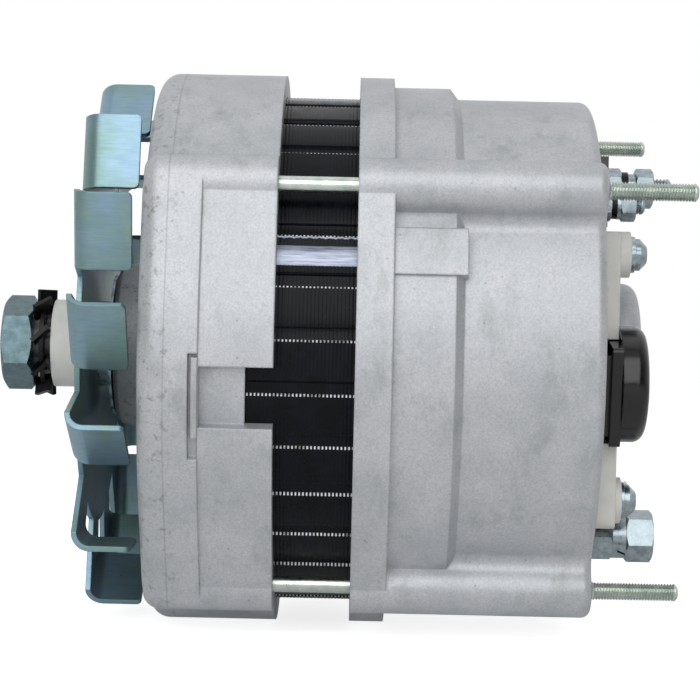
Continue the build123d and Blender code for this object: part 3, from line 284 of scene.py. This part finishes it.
def nut_skin(tree, place):
    # Zinc over a turned and chamfered nut: dull teal-grey flats with soft blotches and tumbling dents.
    blotch = add(tree, "TexNoise", {"Vector": place, "Scale": 1 / (3 * MM), "Detail": 4.0, "Roughness": 0.6})
    tone = add(tree, "MapRange", {"Value": blotch, "From Min": 0.2, "From Max": 0.8})
    skin = add(tree, "Mix", {0: tone, 6: linear("#4d6062"), 7: linear("#6c828a")}, data_type="RGBA")
    gloss = add(tree, "MapRange", {
        "Value": blotch, "From Min": 0.3, "From Max": 0.7, "To Min": 0.32, "To Max": 0.22,
    })
    return skin, gloss, blotch, 0.025 * MM


def ground_steel(tree, place):
    # Bearing steel, hardened, ground and honed: almost a mirror, with faint rings.
    ring = add(tree, "TexNoise", {"Vector": place, "Scale": 1 / (0.4 * MM), "Detail": 2.0})
    tone = add(tree, "MapRange", {"Value": ring, "From Min": 0.35, "From Max": 0.65})
    skin = add(tree, "Mix", {0: tone, 6: linear("#b9bbbf"), 7: linear("#cfd0d2")}, data_type="RGBA")
    gloss = add(tree, "MapRange", {
        "Value": ring, "From Min": 0.3, "From Max": 0.7, "To Min": 0.14, "To Max": 0.24,
    })
    return skin, gloss, ring, 0.004 * MM


def forged_steel(tree, place):
    # Forged and turned mild steel, oiled: dark grey, with scale left in its hollows.
    scale = add(tree, "TexNoise", {"Vector": place, "Scale": 1 / (6 * MM), "Detail": 5.0, "Roughness": 0.6})
    tone = add(tree, "MapRange", {"Value": scale, "From Min": 0.35, "From Max": 0.65})
    skin = add(tree, "Mix", {0: tone, 6: linear("#47494c"), 7: linear("#6f7173")}, data_type="RGBA")
    gloss = add(tree, "MapRange", {
        "Value": scale, "From Min": 0.3, "From Max": 0.7, "To Min": 0.35, "To Max": 0.55,
    })
    return skin, gloss, scale, 0.08 * MM


def oil_black(tree, place):
    # Spring steel, hardened and oil-blackened: a thin brown-black skin, rubbed brown on its teeth.
    wear = add(tree, "TexNoise", {"Vector": place, "Scale": 1 / (2.5 * MM), "Detail": 4.0, "Roughness": 0.65})
    tone = add(tree, "MapRange", {"Value": wear, "From Min": 0.5, "From Max": 0.75})
    skin = add(tree, "Mix", {0: tone, 6: linear("#070607"), 7: linear("#231b15")}, data_type="RGBA")
    gloss = add(tree, "MapRange", {
        "Value": wear, "From Min": 0.3, "From Max": 0.7, "To Min": 0.28, "To Max": 0.45,
    })
    return skin, gloss, wear, 0.03 * MM


def cream_moulding(tree, place):
    # Moulded polyamide: warm off-white, silky, with faint flow clouds and a few dust marks.
    cloud = add(tree, "TexNoise", {"Vector": place, "Scale": 1 / (9 * MM), "Detail": 3.0})
    dust = add(tree, "TexNoise", {"Vector": place, "Scale": 1 / (1.2 * MM), "Detail": 2.0})
    tone = add(tree, "MapRange", {"Value": cloud, "From Min": 0.35, "From Max": 0.65})
    skin = add(tree, "Mix", {0: tone, 6: linear("#c9c8c3"), 7: linear("#d5d4cf")}, data_type="RGBA")
    mark = add(tree, "MapRange", {"Value": dust, "From Min": 0.68, "From Max": 0.78, "To Max": 0.35})
    skin = add(tree, "Mix", {0: mark, 6: skin, 7: linear("#a19e95")}, data_type="RGBA")
    gloss = add(tree, "MapRange", {
        "Value": cloud, "From Min": 0.3, "From Max": 0.7, "To Min": 0.4, "To Max": 0.5,
    })
    return skin, gloss, dust, 0.01 * MM


def black_moulding(tree, place):
    # Moulded phenolic: deep black and glossy, with a little grey dust and soft sink marks.
    dust = add(tree, "TexNoise", {"Vector": place, "Scale": 1 / (1.6 * MM), "Detail": 4.0, "Roughness": 0.6})
    sink = add(tree, "TexNoise", {"Vector": place, "Scale": 1 / (11 * MM), "Detail": 1.0})
    tone = add(tree, "MapRange", {"Value": dust, "From Min": 0.58, "From Max": 0.85})
    skin = add(tree, "Mix", {0: tone, 6: linear("#040405"), 7: linear("#15161a")}, data_type="RGBA")
    gloss = add(tree, "MapRange", {
        "Value": dust, "From Min": 0.35, "From Max": 0.7, "To Min": 0.16, "To Max": 0.26,
    })
    return skin, gloss, sink, 0.2 * MM


def amber_nylon(tree, place):
    # Natural nylon, oiled by the grease that it holds.
    cloud = add(tree, "TexNoise", {"Vector": place, "Scale": 1 / (3 * MM), "Detail": 2.0})
    skin = add(tree, "Mix", {0: cloud, 6: linear("#c2a872"), 7: linear("#d8c596")}, data_type="RGBA")
    gloss = add(tree, "MapRange", {
        "Value": cloud, "From Min": 0.3, "From Max": 0.7, "To Min": 0.3, "To Max": 0.45,
    })
    return skin, gloss, cloud, 0.01 * MM


def turned_copper(tree, place):
    # Copper turned round the axis: fine rings 0.3 mm apart that catch the light.
    lathe = add(tree, "Mapping", {"Vector": place, "Scale": (1 / (0.3 * MM), 1 / (9 * MM), 1 / (9 * MM))})
    rings = add(tree, "TexNoise", {"Vector": lathe, "Scale": 1.0, "Detail": 1.0})
    tone = add(tree, "MapRange", {"Value": rings, "From Min": 0.35, "From Max": 0.65})
    skin = add(tree, "Mix", {0: tone, 6: linear("#b06a44"), 7: linear("#cf8a62")}, data_type="RGBA")
    gloss = add(tree, "MapRange", {
        "Value": rings, "From Min": 0.3, "From Max": 0.7, "To Min": 0.18, "To Max": 0.3,
    })
    return skin, gloss, rings, 0.01 * MM


def pressed_carbon(tree, place):
    # Pressed carbon and copper powder: matt, dark grey, with sparse bright grains.
    grain = add(tree, "TexNoise", {
        "Vector": place, "Scale": 1 / (0.35 * MM), "Detail": 2.0, "Roughness": 0.6,
    })
    tone = add(tree, "MapRange", {"Value": grain, "From Min": 0.6, "From Max": 0.75})
    skin = add(tree, "Mix", {0: tone, 6: linear("#262626"), 7: linear("#5a4a42")}, data_type="RGBA")
    gloss = add(tree, "MapRange", {
        "Value": grain, "From Min": 0.3, "From Max": 0.7, "To Min": 0.55, "To Max": 0.7,
    })
    return skin, gloss, grain, 0.02 * MM


def rolled_aluminium(tree, place):
    # Rolled sheet: pale, with its grain in one direction.
    mill = add(tree, "Mapping", {"Vector": place, "Scale": (1 / (0.35 * MM), 1 / (0.35 * MM), 1 / (7 * MM))})
    grain = add(tree, "TexNoise", {"Vector": mill, "Scale": 1.0, "Detail": 2.0, "Roughness": 0.6})
    tone = add(tree, "MapRange", {"Value": grain, "From Min": 0.35, "From Max": 0.65})
    skin = add(tree, "Mix", {0: tone, 6: linear("#b4b5b6"), 7: linear("#cacbcb")}, data_type="RGBA")
    gloss = add(tree, "MapRange", {
        "Value": grain, "From Min": 0.3, "From Max": 0.7, "To Min": 0.28, "To Max": 0.4,
    })
    return skin, gloss, grain, 0.01 * MM


lacquer = finish("laminations_black_lacquer", lamination_lacquer, edge=0.1, Specular_IOR_Level=0.14)
bolt_zinc = finish("drawn_steel_bright_zinc", zinc_plate, edge=0.1, Metallic=1.0)
small_zinc = finish("headed_steel_blue_zinc", screw_zinc, edge=0.2, Metallic=1.0)
nut_zinc = finish("turned_nut_blue_zinc", nut_skin, edge=0.3, Metallic=0.9)
weld_steel = finish("steel_weld_band_bare", bare_weld, edge=0.1, Metallic=1.0)
FINISHES = {    # by the record's material slots
    "cast_aluminium": finish("cast_aluminium_blasted", cast_skin, edge=0.7, Metallic=0.55),
    "lacquered_steel": lacquer,
    "copper_winding": finish("copper_wire_enamelled", enamelled_wire, Metallic=0.6, Coat_Weight=0.6),
    "zinc_steel": small_zinc,
    "fan_steel": finish("steel_sheet_blue_zinc", passivated_zinc, edge=0.4, Metallic=0.85),
    "bearing_steel": finish("bearing_steel_ground", ground_steel, Metallic=1.0),
    "rotor_steel": finish("mild_steel_forged", forged_steel, Metallic=0.9),
    "spring_steel": finish("spring_steel_oil_black", oil_black, Metallic=0.5),
    "cream_plastic": finish("polyamide_cream", cream_moulding, edge=0.5),
    "black_plastic": finish("phenolic_black", black_moulding, edge=0.4),
    "nylon": finish("nylon_natural", amber_nylon),
    "copper": finish("copper_turned", turned_copper, Metallic=1.0),
    "carbon": finish("carbon_pressed", pressed_carbon),
    "sheet_aluminium": finish("aluminium_rolled", rolled_aluminium, Metallic=0.9),
}
slots = {part["node"]: part["material_slot"] for part in frame["record"]["subparts"]}
for name, node in frame["nodes"].items():
    node.data.materials.clear()
    node.data.materials.append(nut_zinc if name == "shaft_nut" else FINISHES[slots[name]])


# Pieces

def stand(name, data):
    """A new object in the scene."""
    thing = bpy.data.objects.new(name, data)
    bpy.context.collection.objects.link(thing)
    return thing


def vertices(mesh):
    """A mesh's vertices as rows of X, Y and Z."""
    spots = np.empty(len(mesh.vertices) * 3)
    mesh.vertices.foreach_get("co", spots)
    return spots.reshape(-1, 3)


def around(angle, radius):
    """Y and Z in millimetres at an angle in degrees round the shaft."""
    return -radius * np.cos(np.radians(angle)), radius * np.sin(np.radians(angle))


def surface(name, points, closed, material, body):
    """A piece from a grid of points, whose columns go round; closed says that its rows go round too.

    Otherwise a fan round its middle closes the first and the last row. Edges over 40 degrees stay sharp.
    """
    rows, columns = points.shape[:2]
    i, j = np.meshgrid(np.arange(rows if closed else rows - 1), np.arange(columns), indexing="ij")
    below, beside = (i + 1) % rows, (j + 1) % columns
    quads = np.stack([
        i * columns + j, below * columns + j, below * columns + beside, i * columns + beside,
    ], -1)
    faces = quads.reshape(-1, 4).tolist()
    spots = points.reshape(-1, 3)
    if not closed:
        spots = np.concatenate([spots, points[:1].mean(1), points[-1:].mean(1)])
        ring = np.arange(columns)
        after = (ring + 1) % columns
        last = (rows - 1) * columns
        first_middle = np.full(columns, rows * columns)
        faces += np.stack([first_middle, ring, after], -1).tolist()
        faces += np.stack([first_middle + 1, last + after, last + ring], -1).tolist()
    mesh = bpy.data.meshes.new(name)
    mesh.from_pydata(spots.tolist(), [], faces)
    mesh.materials.append(material)
    mesh.shade_smooth()
    mesh.set_sharp_from_angle(angle=np.radians(40))
    piece = stand(name, mesh)
    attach(piece, body)
    return piece


ROD_COLUMNS = 24
TURN = np.arange(ROD_COLUMNS) * 2 * np.pi / ROD_COLUMNS
ROWS_PER_PITCH = 8
THREAD_DEPTH = 0.58     # of the pitch


def thread(x_from, x_to, radius, pitch):
    """The section of a rod that has a V thread.

    Its radius falls by the thread's depth and rises again once in each pitch. The phase moves on by one
    pitch in a turn, which makes the helix, and at both ends the groove runs out.
    """
    steps = int(np.ceil((x_to - x_from) / pitch * ROWS_PER_PITCH))
    x = np.linspace(x_from, x_to, steps + 1)[:, None]
    phase = x / pitch - TURN / (2 * np.pi)
    groove = np.abs(2 * (phase % 1) - 1)
    run_out = np.clip(np.minimum(x - x_from, x_to - x) / pitch, 0, 1)
    return x, radius - THREAD_DEPTH * pitch * np.clip(1.15 * groove - 0.1, 0, 1) * run_out


def hexagon(across_flats):
    """A hexagon's radius at each column: half the flats' distance over the cosine from a flat's middle."""
    return across_flats / 2 / np.cos((TURN + np.pi / 6) % (np.pi / 3) - np.pi / 6)


def rod(name, sections, place, material):
    """A rod along X round a place (y, z), from (x, radius) sections, which are numbers or whole arrays."""
    x_rows, radius_rows = [], []
    for x, radius in sections:
        rows = np.shape(x)[0] if np.ndim(x) else 1
        x_rows.append(np.broadcast_to(x, (rows, ROD_COLUMNS)))
        radius_rows.append(np.broadcast_to(radius, (rows, ROD_COLUMNS)))
    x, radius = np.concatenate(x_rows), np.concatenate(radius_rows)
    y, z = place[0] - radius * np.cos(TURN), place[1] + radius * np.sin(TURN)
    piece = surface(name, np.stack([x, y, z], -1) * MM, False, material, "housing")
    return piece


# Through-bolts: a socket head, a plain shank and an M5 thread behind the rear face
BOLT_CIRCLE = 78.1
BOLT_SECTIONS = (
    (-119.9, hexagon(4.0)), (-122.3, hexagon(4.0)), (-122.5, hexagon(4.4)), (-122.5, 3.75),
    (-122.35, 4.1), (-122.0, 4.25), (-117.7, 4.25), (-117.7, 2.2), (0.28, 2.2), (0.3, 2.3),
    thread(0.5, 23.2, 2.45, 0.8), (23.75, 1.9), (24.0, 1.6),
)
for i, angle in enumerate((33.7, 123.7, 213.7, 303.7)):
    bolt = rod(f"through_bolt_{i + 1}", BOLT_SECTIONS, around(angle, BOLT_CIRCLE), bolt_zinc)
    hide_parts("through_bolts")

# Terminal studs, threaded from their heads to their ends
for name, head, x_back, x_seat, radius, pitch, x_end, place in (
    ("output_stud", 6.5, -14.0, -9.5, 4.0, 1.25, 19.0, (-22.0, -51.4)),
    ("main_terminal_stud", 5.0, -10.5, -7.0, 3.0, 1.0, 24.5, (-10.0, 48.4)),
    ("small_terminal_stud", 4.2, -10.0, -7.0, 2.5, 0.8, 15.8, (-20.0, 42.7)),
):
    stud = rod(name + "_threaded", (
        (x_back, head - 0.3), (x_back + 0.3, head), (x_seat, head), (x_seat, radius - 0.1),
        thread(x_seat + 0.3, x_end - 0.7, radius, pitch), (x_end, radius - 0.75),
    ), place, small_zinc)
    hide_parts(name)


# Columns of the shell in millimetres from the middle of a groove, over its ridge to the next groove.
# Two neighbouring ridges have them by turns, which keeps the mesh light.
RIDGE_COLUMNS = (
    (0.0, 1.55, 1.85, 3.2, 7.2, 11.2, 12.53, 12.83),
    (1.4, 1.7, 2.0, 5.2, 9.2, 12.4, 12.68),
)
SHEETS = 36     # drawn 1 mm thick, which is as fine as they show, although real ones are half of that
ROWS_PER_SHEET = 6
GROOVE_HALF_WIDTH, GROOVE_WALL, GROOVE_RADIUS, RIDGE_RADIUS = 1.4, 0.6, 72.2, 73.23
SEAT_HALF_WIDTH, SEAT_RADIUS = 3.2, 72.7
RELIEF = 0.09


def lamination_shell():
    """Points of the stack's outside, closed to a ring 3 mm thick.

    Its ridges stand between grooves with sloping walls, and are cut down to a flat seat at each weld
    band. The sheets' relief is deepest where two sheets meet.
    """
    angle = np.concatenate([
        np.degrees(np.array(RIDGE_COLUMNS[ridge % 2]) / STACK_RADIUS) + FIRST_GROOVE + RIDGE_ANGLE * ridge
        for ridge in range(RIDGES)
    ])
    x = np.linspace(STACK_FROM + 0.02, STACK_TO - 0.02, SHEETS * ROWS_PER_SHEET + 1)[:, None]
    off_groove = np.abs((angle - FIRST_GROOVE + RIDGE_ANGLE / 2) % RIDGE_ANGLE - RIDGE_ANGLE / 2)
    wall = np.clip((np.radians(off_groove) * STACK_RADIUS - GROOVE_HALF_WIDTH) / GROOVE_WALL, 0, 1)
    radius = GROOVE_RADIUS + (RIDGE_RADIUS - GROOVE_RADIUS) * wall * wall * (3 - 2 * wall)
    for weld in WELD_ANGLES:
        off_weld = np.radians(np.abs((angle - weld + 180) % 360 - 180)) * STACK_RADIUS
        radius = np.where(off_weld < SEAT_HALF_WIDTH, np.minimum(radius, SEAT_RADIUS), radius)
    relief = RELIEF * (1 - np.abs(np.sin(np.pi * (x + 0.5)))) ** 0.7
    inside = np.full((2, len(angle)), STACK_RADIUS - 3.0)
    y, z = around(angle, np.concatenate([radius - relief, inside]))
    x = np.concatenate([x, x[-1:], x[:1]])
    return np.stack([np.broadcast_to(x, y.shape), y, z], -1) * MM


def bead(name, angle, half_width, height, wave):
    """A weld bead along the stack at an angle round the shaft, with a lens-shaped section.

    Its middle wanders by wave millimetres to each side, and by 0.6 of that in shorter waves.
    """
    along = np.linspace(STACK_FROM + 0.1, STACK_TO - 0.1, 90)[:, None]
    across = np.linspace(-1, 1, 11)[None, :]
    off_middle = wave * (np.sin(along * 2.3) + 0.6 * np.sin(along * 5.1)) + across * half_width
    turn = angle + np.degrees(off_middle / STACK_RADIUS)
    top = STACK_RADIUS + 0.04 - height * across ** 2
    radius = np.hstack([top, np.full_like(top, STACK_RADIUS - 0.9)])
    y, z = around(np.hstack([turn, turn[:, ::-1]]), radius)
    points = np.stack([np.broadcast_to(along, y.shape), y, z], -1)
    piece = surface(name, points * MM, False, weld_steel, "housing")


# Stator: a shell of sheet edges over the CAD core, whose outside, all that is beyond 71 mm, is sunk
SUNK, SUNK_BEYOND = 0.35 * MM, 71 * MM
shell = surface("lamination_edges", lamination_shell(), True, lacquer, "housing")
core_mesh = frame["nodes"]["stator_core"].data.copy()
spots = vertices(core_mesh)
reach = np.hypot(spots[:, 1], spots[:, 2])
spots[:, 1:] *= np.where(reach > SUNK_BEYOND, (reach - SUNK) / reach, 1.0)[:, None]
core_mesh.vertices.foreach_set("co", spots.ravel())
core = stand("stator_core_inside", core_mesh)
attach(core, "housing")
for piece in (shell, core):
    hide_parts("stator_core")

# Weld bands along the stack, and the ragged edge that the torch left above the near one
for i, angle in enumerate(WELD_ANGLES):
    bead(f"stator_weld_{i + 1}", angle, half_width=3.0, height=0.45, wave=0.0)
bead("stator_weld_edge", 23.6, half_width=0.4, height=0.25, wave=0.1)

# Brush springs: the outer end stands in the holder and the inner end bears on the brush. Each coil is a copy
# of its CAD node's mesh, which it stands in for
for side in ("front", "rear"):
    name = side + "_brush_spring"
    coil = frame["nodes"][name].data.copy()
    spots = vertices(coil)
    spring = stand(name + "_coil", coil)
    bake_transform(spring)
    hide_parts(name)


# Floor, light and camera

MIDDLE = Vector((-67 * MM, 0, 0))


def lamp(name, place, size, power):
    """A square soft light at a place, turned to the object's middle."""
    light = bpy.data.lights.new(name, "AREA")
    light.size, light.energy = size, power
    holder = stand(name, light)
    back = Vector(place) - MIDDLE
    holder.matrix_world = Matrix.Translation(place) @ back.to_track_quat("Z", "Y").to_matrix().to_4x4()


# A white card, 6 m square, that stays white to the camera and keeps a soft shadow
card = bpy.data.materials.new("floor_white_card")
card.use_nodes = True
tree = card.node_tree
tree.nodes.clear()
path = add(tree, "LightPath", {})
glow = add(tree, "MapRange", {"Value": path.outputs["Is Camera Ray"], "To Min": 0.16, "To Max": 0.8})
paint = add(tree, "BsdfDiffuse", {"Color": linear("#e6e6e6")})
light_up = add(tree, "Emission", {"Strength": glow})
both = add(tree, "AddShader", {0: paint, 1: light_up})
add(tree, "OutputMaterial", {"Surface": both})
floor_mesh = bpy.data.meshes.new("floor")
ground = cad_box[0][2]
corners = [(x, y, ground) for x, y in ((-3, -3), (3, -3), (3, 3), (-3, 3))]
floor_mesh.from_pydata(corners, [], [(0, 1, 2, 3)])
floor_mesh.materials.append(card)
stand("floor", floor_mesh)

# The room: white where the camera looks, and in reflections white behind and dim on the camera's side
world = bpy.data.worlds.new("studio")
bpy.context.scene.world = world
world.use_nodes = True
tree = world.node_tree
tree.nodes.clear()
heading = add(tree, "SeparateXYZ", {"Vector": add(tree, "TexCoord", {}).outputs["Generated"]})
path = add(tree, "LightPath", {})
mirrored = add(tree, "MapRange", {
    "Value": heading.outputs["Y"], "From Min": -0.75, "From Max": 0.35, "To Min": 0.16, "To Max": 0.9,
})
strength = add(tree, "Mix", {0: path.outputs["Is Glossy Ray"], 2: 0.34, 3: mirrored}, data_type="FLOAT")
strength = add(tree, "Mix", {0: path.outputs["Is Camera Ray"], 2: strength, 3: 1.0}, data_type="FLOAT")
room = add(tree, "Background", {"Color": linear("#ffffff"), "Strength": strength})
add(tree, "OutputWorld", {"Surface": room})

lamp("key", (-0.2, -1.1, 0.6), size=1.2, power=11.0)
lamp("top", (-0.1, -0.1, 1.2), size=1.0, power=1.2)

# The camera stands square to the shaft and is rolled by 1.25 degrees
CAMERA_PLACE = (-67.3 * MM, -630 * MM, -0.24 * MM)
camera = bpy.data.cameras.new("camera")
camera.lens, camera.sensor_width = 109.8, 36.0
eye = stand("camera", camera)
roll = np.radians(1.25)
right, up = (np.cos(roll), 0, np.sin(roll)), (-np.sin(roll), 0, np.cos(roll))
eye.matrix_world = Matrix((
    (right[0], up[0], 0, CAMERA_PLACE[0]), (0, 0, -1, CAMERA_PLACE[1]),
    (right[2], up[2], 0, CAMERA_PLACE[2]), (0, 0, 0, 1),
))
bpy.context.scene.camera = eye
bpy.context.scene.view_settings.view_transform = "Standard"
